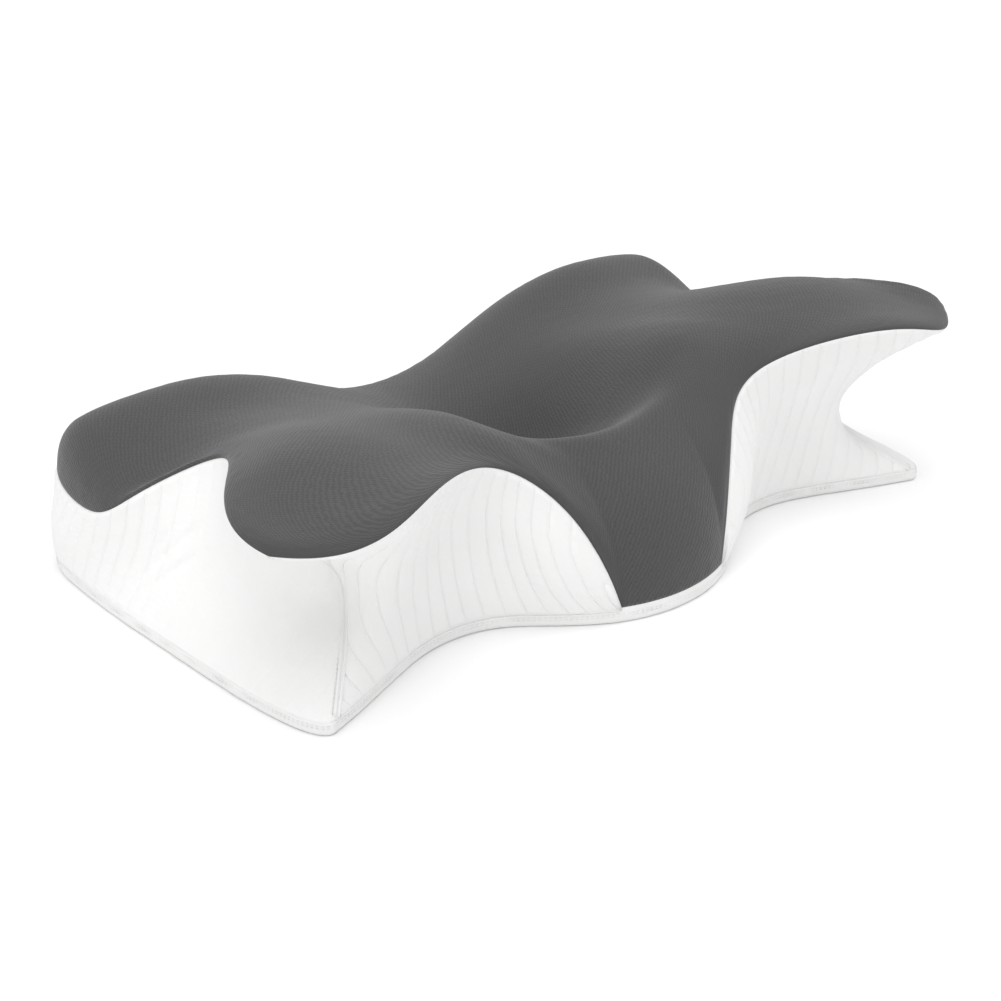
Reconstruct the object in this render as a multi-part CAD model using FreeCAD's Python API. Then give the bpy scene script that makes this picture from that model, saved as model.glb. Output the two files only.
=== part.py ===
import FreeCAD, Part
import math
import os

# Butterfly-shaped memory-foam neck pillow in a zipped cover.
#
# Frame: millimetres, +Z up, the pillow lies on z = 0. +X runs along its width and the shape mirrors
# in x = 0. The neck rests on the front edge, on the -Y side, and the back of the head in the hollow.
#
# Each fabric panel is a closed shell between two layers of one family of surfaces. Layer 0 is the
# outside of the cover, and layer d lies d mm under it.

Vector = FreeCAD.Vector

# ---- Driving dimensions ---------------------------------------------------------------------------

STRIP = 9.0               # height of the plain band where the base panel turns up round the sides
TONGUE_EDGE = 11.5        # height of the lower edge of the knit tongue at the front
COVER = 2.5               # thickness of the cover panels
LINER_OUTER = 2.8         # depth of the liner's outside
LINER_INNER = 3.6         # depth of the liner's inside
FOAM_DEPTH = 4.0          # depth of the foam core's surface
CENTRE_Y = 3.0            # moves the stations along Y, so that the pillow is centred on the origin

# Stations round the right half of the outline, from the middle of the back to the middle of the front.
# Each has a point of the base outline (x, y), the waist of the side wall below the wings (x, y, z)
# and the seam between the side wall and the knit top (x, y, z).
STATIONS = [
    ("back_middle", (0, 168), (0, 165.5, 30), (0, 150, 52)),
    ("back_inner", (100, 167.8), (100, 166.6, 32), (100, 162, 55)),
    ("back_lobe", (205, 167.6), (208, 167.2, 42), (212, 165, 72)),
    ("back_corner", (269, 154), (270, 152, 36), (267, 149, 66)),
    ("end_corner", (285, 105), (284, 98, 34), (278, 88, 61)),
    ("end_back", (287, 45), (268, 42, 46), (262, 50, 83)),
    ("end_notch", (286, -16), (254, -4, 56), (230, 4, 113)),
    ("end_front", (282, -110), (242, -64, 56), (279, -75, 131)),
    ("front_corner", (263, -154), (216, -100, 64), (296, -144, 124)),
    ("front_lobe", (206, -132), (206, -130, 78), (246, -178, 130)),
    ("flank", (158, -116), (176, -130, 84), (194, -164, 138)),
    ("front_notch", (116, -120), (133, -122, 82), (122, -127, 119)),
    ("tongue_flank", (85, -141), (92, -148, 54), (77, -143, 85)),
    ("tongue_corner", (46, -168), (46, -168, 10), (46, -168, TONGUE_EDGE)),
    ("front_middle", (0, -178), (0, -178, 10), (0, -178, TONGUE_EDGE)),
]
BACK_CORNER = 3
FRONT_CORNER = 8
TONGUE_CORNER = 13
FRONT_MIDDLE = 14

# Where the stations of the front and the ends fall on the top panel: 0 to 1 from the middle to an
# end, and 0 to 1 from the back to the front.
FRONT_SHARE = [1.0, 0.8, 0.6, 0.43, 0.28, 0.2, 0.0]
END_SHARE = [0.0, 0.18, 0.33, 0.51, 0.78, 1.0]

# Height of the top: a plateau with soft hills and hollows on it (height, x, y, spread x, spread y).
PLATEAU = 98.0
RELIEF = [
    ("neck_roll", 12, 0, -108, 95, 20),
    ("head_hollow", -58, 0, -10, 58, 72),
    ("rim_dip", -33, 0, 138, 90, 100),
    ("front_wing", 46, 214, -85, 125, 130),
    ("saddle", 13, 102, -73, 33, 70),
    ("back_wing", 16, 195, 145, 105, 55),
    ("end_valley", -60, 330, 40, 85, 58),
]

# The top rolls down to its seam over these shares of its depth and half width.
ROLL_BACK = 0.165
ROLL_FRONT = 0.25
ROLL_END = 0.1            # at the tips of the front wings
ROLL_LOBE = 0.18          # at the ends of the back lobes
EDGE_RISE = 8.0           # least height of the top above its seam, once it has rolled up from it
EDGE_BLEND = 6.0          # how softly the relief gives way to that height

# Zip in the back of the cover, along the top of the plain band.
ZIP_HALF = 180.0          # half length of the slot
ZIP_SLOT = 12.0           # height of the slot
ZIP_DEPTH = 0.4           # middle of the chain below the cover's outside
TAPE = 0.6                # thickness of the zip tape
TOOTH_PITCH = 2.5
TOOTH_LENGTH = 1.5        # along the zip
TOOTH_WIDTH = 1.7         # across the zip
TOOTH_HEIGHT = 2.0        # through the zip
TOOTH_SPINE = 0.5         # strip along the tape that joins the teeth of a row
ROW_GAP = 1.2             # gap between the two rows of teeth, where the slider's neck passes
STOP_LENGTH = 3.0

SLIDER_LENGTH = 11.0
SLIDER_FRONT = 8.6        # width across the two mouths of the slider
SLIDER_REAR = 6.6
SLIDER_PLATE = 0.8
SLIDER_CLEARANCE = 0.2
NECK_WIDTH = 0.8
NECK_LENGTH = 2.4
FLANGE = 0.8
FLANGE_CLEARANCE = 0.3
BRIDGE_WIDTH = 2.0
BRIDGE_BAR = 1.2
BRIDGE_SPAN = 8.0
PULL_BAR = 1.2            # diameter of the crossbar under the bridge
PULL_CLEARANCE = 0.3
PULL_ARM = 1.0
PULL_REACH = 6.0
PULL_LENGTH = 22.0
PULL_WIDTH = 7.0
PULL_THICKNESS = 1.0

BACK_JOIN = 8             # columns from the tongue's corner to the upright join of back and end panels

# Ridge that covers the upright seam at each front corner.
RIDGE_WIDTH = 5.0
RIDGE_LOW = 0.35
RIDGE_HIGH = 1.5

# ---- How finely the surfaces are laid out ---------------------------------------------------------

BACK_ROLL_STEPS = 5
MIDDLE_STEPS = 12
FRONT_ROLL_STEPS = 7
TONGUE_STEPS = 6
WING_STEPS = 12
END_ROLL_STEPS = 3
WALL_STEPS = 4            # from the band to the waist, and again from the waist to the seam
EASING_PASSES = 20


# ---- Outlines -------------------------------------------------------------------------------------

# Stations that each stretch of a level's curve runs through. Negative numbers are the mirrored
# stations of the back, and numbers past FRONT_MIDDLE those of the front. Every level is smooth round
# the back corners. At the tongue's corners only the base is.
ROUND_BACK = (-FRONT_CORNER, FRONT_CORNER)
ROUND_FRONT = (FRONT_CORNER, 2 * FRONT_MIDDLE - FRONT_CORNER)
SIDE = (FRONT_CORNER, TONGUE_CORNER)
TONGUE = (TONGUE_CORNER, 2 * FRONT_MIDDLE - TONGUE_CORNER)
CURVES = {
    "base": {"back": ROUND_BACK, "end": ROUND_BACK, "side": ROUND_FRONT, "tongue": ROUND_FRONT},
    "waist": {"back": ROUND_BACK, "end": ROUND_BACK, "side": SIDE, "tongue": TONGUE},
    "seam": {"back": ROUND_BACK, "end": ROUND_BACK, "side": SIDE, "tongue": TONGUE},
}
LEVELS = {"base": 1, "waist": 2, "seam": 3}


def station(level, number):
    """Point of a station, mirrored in x = 0 for a station of the left half."""
    mirrored = number < 0 or number > FRONT_MIDDLE
    number = abs(number) if number < 0 else min(number, 2 * FRONT_MIDDLE - number)
    x, y, *height = STATIONS[number][LEVELS[level]]
    return Vector(-x if mirrored else x, y + CENTRE_Y, height[0] if height else 0.0)


def outline(level, stretch):
    """Smooth curve of a level over a stretch, as a function of the station number."""
    first, last = CURVES[level][stretch]
    points = [station(level, number) for number in range(first, last + 1)]
    curve = Part.BSplineCurve()
    curve.interpolate(Points=points, Parameters=[float(k) for k in range(len(points))])
    return lambda number: curve.value(number - first)


def share_to_station(share, shares, first):
    """Station number at a share, which falls or rises along the list of shares."""
    for step in range(len(shares) - 1):
        low, high = shares[step], shares[step + 1]
        if min(low, high) <= share <= max(low, high):
            return first + step + (share - low) / (high - low)
    raise ValueError("share outside 0 to 1")


def mirror_grid(grid):
    """The grid's mirror image in x = 0, with its columns turned round so that it still faces out."""
    return [[Vector(-p.x, p.y, p.z) for p in reversed(row)] for row in grid]


# ---- Side walls -----------------------------------------------------------------------------------

def hermite(start, start_slope, end, end_slope, t):
    """Point at t from 0 to 1 on the cubic that leaves start and reaches end with the given slopes."""
    return (
        start * (2 * t ** 3 - 3 * t ** 2 + 1)
        + start_slope * (t ** 3 - 2 * t ** 2 + t)
        + end * (3 * t ** 2 - 2 * t ** 3)
        + end_slope * (t ** 3 - t ** 2)
    )


def wall_profile(foot, waist, seam):
    """Points up the side wall, from the band through the waist to the seam."""
    low = max((waist - foot).Length, 0.001)
    high = max((seam - waist).Length, 0.001)
    waist_slope = (seam - foot) * (1.0 / (low + high))
    foot_slope = (waist - foot) * (1.5 / low) - waist_slope * 0.5
    seam_slope = (seam - waist) * (1.5 / high) - waist_slope * 0.5
    steps = [k / WALL_STEPS for k in range(WALL_STEPS + 1)]
    lower = [hermite(foot, foot_slope * low, waist, waist_slope * low, t) for t in steps]
    upper = [hermite(waist, waist_slope * high, seam, seam_slope * high, t) for t in steps]
    return lower + upper[1:]


def wall_grid(stretch, numbers):
    """Rows up the wall and columns along it, at the given station numbers."""
    base, waist, seam = (outline(level, stretch) for level in ("base", "waist", "seam"))
    columns = []
    for number in numbers:
        foot = base(number)
        foot.z = STRIP
        columns.append(wall_profile(foot, waist(number), seam(number)))
    return [list(row) for row in zip(*columns)]


# ---- Top ------------------------------------------------------------------------------------------

def roll_steps(share, steps):
    """Positions from a seam up over a rounded edge that takes the given share."""
    return [share * (1 - math.cos(math.pi / 2 * k / steps)) for k in range(steps)]


def even_steps(first, last, steps):
    """Evenly spaced positions from first up to, and without, last."""
    return [first + (last - first) * k / steps for k in range(steps)]


def depth_steps():
    """Positions of the rows, from the back seam at 0 to the front seam at 1."""
    front = [1 - at for at in roll_steps(ROLL_FRONT, FRONT_ROLL_STEPS)]
    middle = even_steps(ROLL_BACK, 1 - ROLL_FRONT, MIDDLE_STEPS)
    return roll_steps(ROLL_BACK, BACK_ROLL_STEPS) + middle + [1 - ROLL_FRONT] + front[::-1]


def width_steps():
    """Positions of the columns, from the left end at -1 to the right end at 1."""
    tongue = FRONT_SHARE[TONGUE_CORNER - FRONT_CORNER]
    half = even_steps(0.0, tongue, TONGUE_STEPS // 2)
    half += even_steps(tongue, 1 - ROLL_END, WING_STEPS) + [1 - ROLL_END]
    half += [1 - at for at in roll_steps(ROLL_END, END_ROLL_STEPS)][::-1]
    return [-at for at in half[:0:-1]] + half


def lift(distance, share):
    """How far the top has risen from the seam to its full height, round an elliptical edge."""
    return math.sqrt(1 - max(1 - distance / share, 0.0) ** 2)


def nearness(distance, share):
    """1 at a seam, falling softly to 0 where the rolled edge ends."""
    return max(1 - distance / share, 0.0) ** 2


def relief(x, y):
    """Height of the pillow's top, away from its rolled edges."""
    height = PLATEAU
    for _, rise, centre_x, centre_y, spread_x, spread_y in RELIEF:
        along = math.exp(-((y - CENTRE_Y - centre_y) / spread_y) ** 2)
        across = math.exp(-((x - centre_x) / spread_x) ** 2)
        if centre_x:
            across += math.exp(-((x + centre_x) / spread_x) ** 2)
        height += rise * along * across
    return height


def top_grid():
    """Rows from the back to the front of the knit top, and columns from left to right."""
    seam = {stretch: outline("seam", stretch) for stretch in ("back", "end", "side", "tongue")}

    def back(v):
        return seam["back"](BACK_CORNER * v)

    def front(v):
        number = share_to_station(v, FRONT_SHARE, FRONT_CORNER)
        return seam["tongue" if number > TONGUE_CORNER else "side"](number)

    def end(u):
        return seam["end"](share_to_station(u, END_SHARE, BACK_CORNER))

    def point(u, v):
        """Blend of the four seams, raised to the relief away from them."""
        v, side = abs(v), (-1 if v < 0 else 1)
        middle = back(0) * (1 - u) + front(0) * u
        corners = (back(0) * (1 - v) + back(1) * v) * (1 - u) + (front(0) * (1 - v) + front(1) * v) * u
        p = back(v) * (1 - u) + front(v) * u + middle * (1 - v) + end(u) * v - corners
        edges = ((u, ROLL_BACK), (1 - u, ROLL_FRONT), (1 - v, ROLL_LOBE + (ROLL_END - ROLL_LOBE) * u))
        raised = math.prod(lift(*edge) for edge in edges)
        near = 1 - math.prod(1 - nearness(*edge) for edge in edges)
        height = relief(p.x, p.y)
        short = p.z + EDGE_RISE - height
        height += near * (short + math.hypot(short, EDGE_BLEND)) / 2
        return Vector(side * p.x, p.y, p.z * (1 - raised) + height * raised)

    return [[point(u, v) for v in width_steps()] for u in depth_steps()]


# ---- Skin: every patch of the outside, and the same patches further in -----------------------------

WALLS = ("back", "end_right", "side_right", "tongue", "side_left", "end_left")


def outer_patches():
    """The patches of the cover's outside. They share the points of their common edges."""
    widths = width_steps()
    depths = depth_steps()
    tongue = FRONT_SHARE[TONGUE_CORNER - FRONT_CORNER]
    ends = [share_to_station(u, END_SHARE, BACK_CORNER) for u in depths]
    sides = [share_to_station(v, FRONT_SHARE, FRONT_CORNER) for v in reversed(widths) if v >= tongue]
    right = [share_to_station(v, FRONT_SHARE, FRONT_CORNER) for v in reversed(widths) if 0 <= v <= tongue]
    across = right + [2 * FRONT_MIDDLE - number for number in right[-2::-1]]
    patches = {
        "top": top_grid(),
        "back": wall_grid("back", [BACK_CORNER * v for v in widths]),
        "end_right": wall_grid("end", ends),
        "side_right": wall_grid("side", sides),
        "tongue": wall_grid("tongue", across),
    }
    patches["end_left"] = mirror_grid(patches["end_right"])
    patches["side_left"] = mirror_grid(patches["side_right"])
    return patches


def key(point):
    """The same key for the points that two patches share."""
    return (round(point.x, 4), round(point.y, 4), round(point.z, 4))


def neighbours(grid, row, column):
    """The points beside a point of a grid, as (before, after) along the rows and the columns."""
    rows = (grid[max(row - 1, 0)][column], grid[min(row + 1, len(grid) - 1)][column])
    columns = (grid[row][max(column - 1, 0)], grid[row][min(column + 1, len(grid[row]) - 1)])
    return rows, columns


def grid_points(patches):
    """Every (grid, row, column, point) of the patches."""
    for grid in patches.values():
        for row, points in enumerate(grid):
            for column, point in enumerate(points):
                yield grid, row, column, point


def inward_field(patches):
    """For every point of the patches, the move that takes it 1 mm deeper into the pillow."""
    normals = {}
    for grid, row, column, point in grid_points(patches):
        (below, above), (before, after) = neighbours(grid, row, column)
        normal = (above - below).cross(after - before)
        if normal.Length > 0:
            normals.setdefault(key(point), []).append(normal.normalize())
    field = {at: sum(found, Vector()).normalize() * -1 for at, found in normals.items()}
    for _ in range(EASING_PASSES):
        eased = {}
        for grid, row, column, point in grid_points(patches):
            near = [q for pair in neighbours(grid, row, column) for q in pair]
            total = field[key(point)] * 2 + sum((field[key(q)] for q in near), Vector())
            eased[key(point)] = eased.get(key(point), Vector()) + total
        field = {at: move.normalize() for at, move in eased.items()}
    for at, found in normals.items():
        move = field[at]
        if at[2] <= STRIP:
            move = Vector(move.x, move.y, 0).normalize()
        facing = sum(-move.dot(normal) for normal in found) / len(found)
        field[at] = move * (1 / max(facing, 0.7))
    return field


def layer(patches, field, depth):
    """The patches at a depth below the outside, with the band's two rows under each wall."""
    moved = {}
    for name, grid in patches.items():
        moved[name] = [[p + field[key(p)] * depth for p in row] for row in grid]
    for name in WALLS:
        rim = moved[name][0]
        moved["band_" + name] = [[Vector(p.x, p.y, depth) for p in rim], rim]
    return moved


# ---- Faces and solids -----------------------------------------------------------------------------

def end_slope(end, near, far):
    """Slope at the end of a chain, from the turn between its first two steps."""
    step, following = near - end, far - near
    return step * 1.5 - following * (0.5 * step.Length / following.Length)


def smooth_poles(points):
    """Control points of a smooth chain of cubics through the points, two for each."""
    if len(points) == 2:
        return list(points)
    slopes = [end_slope(*points[:3])]
    slopes += [(after - before) * 0.5 for before, after in zip(points, points[2:])]
    slopes.append(end_slope(*points[:-4:-1]) * -1)
    poles = [points[0], points[0] + slopes[0] * (1 / 3)]
    for point, slope in zip(points[1:-1], slopes[1:-1]):
        poles += [point - slope * (1 / 3), point + slope * (1 / 3)]
    return poles + [points[-1] - slopes[-1] * (1 / 3), points[-1]]


def knots(count):
    """Degree, knots and their multiplicities for the control points of smooth_poles."""
    if count == 2:
        return 1, [0.0, 1.0], [2, 2]
    spans = (count - 2) // 2
    return 3, [float(k) for k in range(spans + 1)], [4] + [2] * (spans - 1) + [4]


def smooth_edge(points):
    """Edge along the points, the same one as the border of smooth_face."""
    poles = smooth_poles(points)
    degree, values, multiplicities = knots(len(poles))
    curve = Part.BSplineCurve()
    curve.buildFromPolesMultsKnots(poles, multiplicities, values, False, degree)
    return curve.toShape()


def smooth_face(grid):
    """Face through the points of a grid. Two rows or two columns alone are joined by straight lines."""
    rows = [smooth_poles(row) for row in grid]
    columns = [smooth_poles(list(column)) for column in zip(*rows)]
    poles = [list(row) for row in zip(*columns)]
    u_degree, u_knots, u_mults = knots(len(poles))
    v_degree, v_knots, v_mults = knots(len(poles[0]))
    surface = Part.BSplineSurface()
    surface.buildFromPolesMultsKnots(
        poles, u_mults, v_mults, u_knots, v_knots, False, False, u_degree, v_degree
    )
    return surface.toShape()


def cut_columns(grid):
    """The grid in pieces that end at the tongue's corners, where it spans the whole width."""
    wing = WING_STEPS + END_ROLL_STEPS
    ends = (0, wing, wing + TONGUE_STEPS, 2 * wing + TONGUE_STEPS)
    if len(grid[0]) <= ends[-1]:
        return [grid]
    return [[row[first:last + 1] for row in grid] for first, last in zip(ends, ends[1:])]


def patch_faces(grid):
    """Faces over a patch."""
    return [smooth_face(piece) for piece in cut_columns(grid)]


def edge_faces(outer, inner, sides):
    """Faces that close the gap between two layers of a patch along the named sides."""
    faces = []
    for outer_piece, inner_piece in zip(cut_columns(outer), cut_columns(inner)):
        if "low" in sides:
            faces.append(smooth_face([outer_piece[0], inner_piece[0]]))
        if "high" in sides:
            faces.append(smooth_face([outer_piece[-1], inner_piece[-1]]))
    for side, column in (("first", 0), ("last", -1)):
        if side in sides:
            faces.append(smooth_face([[row[column] for row in outer], [row[column] for row in inner]]))
    return faces


def closed_solid(faces):
    """Solid inside a closed set of faces."""
    shell = Part.makeCompound(faces)
    shell.sewShape()
    solid = Part.makeSolid(shell.Shells[0])
    if solid.Volume < 0:
        solid.reverse()
    return solid


def sheet_solid(outer, inner):
    """Closed sheet of fabric between two layers of one patch."""
    edges = edge_faces(outer, inner, ("low", "high", "first", "last"))
    return closed_solid(patch_faces(outer) + patch_faces(inner) + edges)


def base_face(skin):
    """Flat face across the bottom of a layer."""
    edges = []
    for name in WALLS:
        edges += [smooth_edge(piece[0]) for piece in cut_columns(skin["band_" + name])]
    return Part.Face(Part.Wire(Part.__sortEdges__(edges)))


def skin_faces(skin, names):
    """Faces over the named patches of a layer."""
    return [face for name in names for face in patch_faces(skin[name])]


BANDS = tuple("band_" + name for name in WALLS)


# ---- Cover, liner and core ------------------------------------------------------------------------

def base_panel(outer, inner):
    """Tray under the pillow: its band turns up round the sides and meets the tongue at the front."""
    faces = [base_face(outer), base_face(inner)]
    for skin in (outer, inner):
        faces += skin_faces(skin, BANDS + ("tongue",))
    faces += edge_faces(outer["tongue"], inner["tongue"], ("high", "first", "last"))
    for name in WALLS:
        if name != "tongue":
            faces += edge_faces(outer[name], inner[name], ("low",))
    return closed_solid(faces)


def liner_body(outer, inner):
    """Bag round the base and the sides of the core, open at the top seam."""
    faces = [base_face(outer), base_face(inner)]
    for skin in (outer, inner):
        faces += skin_faces(skin, BANDS + WALLS)
    for name in WALLS:
        faces += edge_faces(outer[name], inner[name], ("high",))
    return closed_solid(faces)


def foam_core(skin):
    """The one-piece memory-foam core."""
    return closed_solid([base_face(skin)] + skin_faces(skin, BANDS + WALLS + ("top",)))


def beside(corner, near, far, out):
    """Direction along a wall from its corner, and the direction square to it that points outward."""
    along = end_slope(corner, near, far).normalize()
    return along, (out - along * out.dot(along)).normalize()


def corner_ridge(end, side, field):
    """Narrow ridge of turned seam over the right front corner of the cover."""
    outer, inner = [], []
    for end_row, side_row in zip(end, side):
        point = end_row[-1]
        move = field[key(point)]
        out = Vector(move.x, move.y, move.z).normalize() * -1
        flanks = [beside(*end_row[:-4:-1], out), beside(*side_row[:3], out)]
        feet = [point + along * (RIDGE_WIDTH / 2) + square * RIDGE_LOW for along, square in flanks]
        brows = [point + along * (RIDGE_WIDTH / 2) + square * (RIDGE_HIGH / 2) for along, square in flanks]
        inner.append([feet[0], point + out * RIDGE_LOW, feet[1]])
        outer.append([brows[0], point + out * RIDGE_HIGH, brows[1]])
    return outer, inner


# ---- Zip ------------------------------------------------------------------------------------------

ZIP_Y = STATIONS[0][LEVELS["base"]][1] + CENTRE_Y - ZIP_DEPTH
ZIP_Z = STRIP + ZIP_SLOT / 2
TEETH_END = ZIP_HALF - STOP_LENGTH - 0.5
SLIDER_REST = TEETH_END - SLIDER_LENGTH / 2
ROW_EDGE = ROW_GAP / 2 + TOOTH_WIDTH
CHANNEL = TOOTH_HEIGHT / 2 + SLIDER_CLEARANCE
PLATE_TOP = CHANNEL + SLIDER_PLATE
BAR_Y = PLATE_TOP + PULL_CLEARANCE + PULL_BAR / 2
BRIDGE_Y = BAR_Y + PULL_BAR / 2 + PULL_CLEARANCE


def block(x, y, z):
    """Box between (low, high) pairs, with y and z counted from the middle of the zip's chain."""
    size = (x[1] - x[0], y[1] - y[0], z[1] - z[0])
    return Part.makeBox(*size, Vector(x[0], ZIP_Y + y[0], ZIP_Z + z[0]))


def prism(outline_xz, y):
    """Outline in (x, z), counted from the slider's rest and the chain's middle, made thick along Y."""
    points = [Vector(SLIDER_REST + x, ZIP_Y + y[0], ZIP_Z + z) for x, z in outline_xz]
    return Part.Face(Part.makePolygon(points + points[:1])).extrude(Vector(0, y[1] - y[0], 0))


def back_side_panel(outer, inner):
    """Quilted back panel, with the slot for the zip along its lower edge."""
    first = END_ROLL_STEPS + WING_STEPS - BACK_JOIN
    strips = [[row[first:len(row) - first] for row in skin["back"]] for skin in (outer, inner)]
    slot = block((-ZIP_HALF, ZIP_HALF), (-10, 10), (-ZIP_SLOT, ZIP_SLOT / 2))
    return sheet_solid(*strips).cut(slot)


def end_panel(outer, inner, hand):
    """Quilted end panel, from its join with the back panel, round the back corner to the front corner."""
    turn = END_ROLL_STEPS + WING_STEPS - BACK_JOIN + 1
    strips = []
    for skin in (outer, inner):
        if hand == "right":
            strips.append([back[-turn:] + end[1:] for back, end in zip(skin["back"], skin["end_right"])])
        else:
            strips.append([end[:-1] + back[:turn] for back, end in zip(skin["back"], skin["end_left"])])
    return sheet_solid(*strips)


def zip_tape(side):
    """Woven tape above (1) or below (-1) the chain."""
    edges = sorted((side * ROW_EDGE, side * (ZIP_SLOT / 2 - 0.1)))
    return block((-ZIP_HALF + 0.1, ZIP_HALF - 0.1), (-TAPE / 2, TAPE / 2), edges)


def zip_teeth(side):
    """Row of moulded teeth on one spine along the edge of a tape."""
    count = int(2 * TEETH_END / TOOTH_PITCH)
    first = -TOOTH_PITCH * (count - 1) / 2 - TOOTH_LENGTH / 2
    head, root, edge = side * ROW_GAP / 2, side * (ROW_EDGE - TOOTH_SPINE), side * ROW_EDGE
    outline_xz = [(first, edge)]
    for k in range(count):
        start = first + TOOTH_PITCH * k
        end = start + TOOTH_LENGTH
        outline_xz += [(start, root), (start, head), (end, head), (end, root)]
    outline_xz = [outline_xz[0]] + outline_xz[2:-1] + [(end, edge)]
    points = [Vector(x, ZIP_Y - TOOTH_HEIGHT / 2, ZIP_Z + z) for x, z in outline_xz]
    return Part.Face(Part.makePolygon(points + points[:1])).extrude(Vector(0, TOOTH_HEIGHT, 0))


def zip_bottom_stop():
    """Block that joins the two tapes where the zip opens to."""
    x = (-ZIP_HALF + 0.3, -ZIP_HALF + STOP_LENGTH)
    return block(x, (-CHANNEL - 0.4, CHANNEL + 0.4), (-ROW_EDGE, ROW_EDGE))


def zip_top_stops():
    """Stop at the closed end of each row of teeth."""
    x = (ZIP_HALF - STOP_LENGTH, ZIP_HALF - 0.3)
    y = (-CHANNEL - 0.4, CHANNEL + 0.4)
    return Part.makeCompound([block(x, y, (-ROW_EDGE, -ROW_GAP / 2)), block(x, y, (ROW_GAP / 2, ROW_EDGE))])


def zip_slider():
    """Slider: two plates joined by a neck between the rows, with flanges and a bridge for the pull."""
    rear, front = -SLIDER_LENGTH / 2, SLIDER_LENGTH / 2
    low, high = SLIDER_REAR / 2, SLIDER_FRONT / 2
    plan = [(rear, -low), (rear, low), (front - 3, high), (front, high - 1.2), (front, 1.2 - high),
            (front - 3, -high)]
    slider = prism(plan, (CHANNEL, PLATE_TOP)).fuse(prism(plan, (-PLATE_TOP, -CHANNEL)))
    for side in (-1, 1):
        rail = [(rear, side * low), (front - 3, side * high), (front - 3, side * (high - FLANGE)),
                (rear, side * (low - FLANGE))]
        reach = TAPE / 2 + FLANGE_CLEARANCE
        slider = slider.fuse(prism(rail, (reach, CHANNEL))).fuse(prism(rail, (-CHANNEL, -reach)))
    half_neck = NECK_WIDTH / 2
    neck = [(front - NECK_LENGTH, -half_neck), (front, -half_neck), (front, half_neck),
            (front - NECK_LENGTH, half_neck)]
    slider = slider.fuse(prism(neck, (-CHANNEL, CHANNEL)))
    half_span = BRIDGE_SPAN / 2
    arch = prism([(-half_span, -BRIDGE_WIDTH / 2), (half_span, -BRIDGE_WIDTH / 2),
                  (half_span, BRIDGE_WIDTH / 2), (-half_span, BRIDGE_WIDTH / 2)],
                 (PLATE_TOP, BRIDGE_Y + BRIDGE_BAR))
    outer_edges = [e for e in arch.Edges if abs(e.tangentAt(e.FirstParameter).z) > 0.99
                   and e.BoundBox.YMin > ZIP_Y + BRIDGE_Y]
    arch = arch.makeFillet(BRIDGE_BAR, outer_edges)
    hole = prism([(-half_span + BRIDGE_BAR, -BRIDGE_WIDTH), (half_span - BRIDGE_BAR, -BRIDGE_WIDTH),
                  (half_span - BRIDGE_BAR, BRIDGE_WIDTH), (-half_span + BRIDGE_BAR, BRIDGE_WIDTH)],
                 (PLATE_TOP, BRIDGE_Y))
    return slider.fuse(arch.cut(hole)).removeSplitter()


def zip_pull():
    """Pull tab: a crossbar under the bridge, two arms past it and a rounded blade to hold."""
    arm = BRIDGE_WIDTH / 2 + 0.4
    y = (BAR_Y - PULL_THICKNESS / 2, BAR_Y + PULL_THICKNESS / 2)
    start = Vector(SLIDER_REST, ZIP_Y + BAR_Y, ZIP_Z - arm - PULL_ARM)
    pull = Part.makeCylinder(PULL_BAR / 2, 2 * (arm + PULL_ARM), start, Vector(0, 0, 1))
    for side in (-1, 1):
        inner, outer = side * arm, side * (arm + PULL_ARM)
        pull = pull.fuse(prism([(0, inner), (0, outer), (-PULL_REACH, outer), (-PULL_REACH, inner)], y))
    half = PULL_WIDTH / 2
    blade = prism([(-PULL_REACH + 1, 1 - half), (-PULL_REACH, 2 - half), (-PULL_REACH, half - 2),
                   (-PULL_REACH + 1, half - 1), (-PULL_REACH - 1, half), (half - PULL_LENGTH, half),
                   (half - PULL_LENGTH, -half), (-PULL_REACH - 1, -half)], y)
    centre = Vector(SLIDER_REST + half - PULL_LENGTH, ZIP_Y + y[0], ZIP_Z)
    blade = blade.fuse(Part.makeCylinder(half, PULL_THICKNESS, centre, Vector(0, 1, 0)))
    blade = blade.cut(Part.makeCylinder(half / 2, PULL_THICKNESS, centre, Vector(0, 1, 0)))
    return pull.fuse(blade).removeSplitter()


# ---- Parts ----------------------------------------------------------------------------------------

def build():
    """Every sub-part, by name."""
    patches = outer_patches()
    field = inward_field(patches)
    outside, inside, liner_out, liner_in, core = (
        layer(patches, field, depth) for depth in (0.0, COVER, LINER_OUTER, LINER_INNER, FOAM_DEPTH)
    )
    parts = {
        "foam_core": foam_core(core),
        "liner_top": sheet_solid(liner_out["top"], liner_in["top"]),
        "liner_body": liner_body(liner_out, liner_in),
        "top_panel": sheet_solid(outside["top"], inside["top"]),
        "base_panel": base_panel(outside, inside),
        "back_side_panel": back_side_panel(outside, inside),
        "zip_tape_upper": zip_tape(1),
        "zip_tape_lower": zip_tape(-1),
        "zip_teeth_upper": zip_teeth(1),
        "zip_teeth_lower": zip_teeth(-1),
        "zip_bottom_stop": zip_bottom_stop(),
        "zip_top_stops": zip_top_stops(),
        "zip_slider": zip_slider(),
        "zip_pull": zip_pull(),
    }
    ridge = corner_ridge(patches["end_right"], patches["side_right"], field)
    parts["corner_seam_right"] = sheet_solid(*ridge)
    parts["corner_seam_left"] = sheet_solid(*[mirror_grid(face) for face in ridge])
    for hand in ("left", "right"):
        side = "side_" + hand
        parts["end_panel_" + hand] = end_panel(outside, inside, hand)
        parts["front_side_panel_" + hand] = sheet_solid(outside[side], inside[side])
    return parts


def main():
    """Write one STEP file for each sub-part."""
    os.makedirs("parts", exist_ok=True)
    for name, shape in build().items():
        if not shape.isValid():
            raise RuntimeError(name + " is not a valid shape")
        shape.exportStep("parts/" + name + ".step")


if __name__ == "__main__":
    main()
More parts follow.
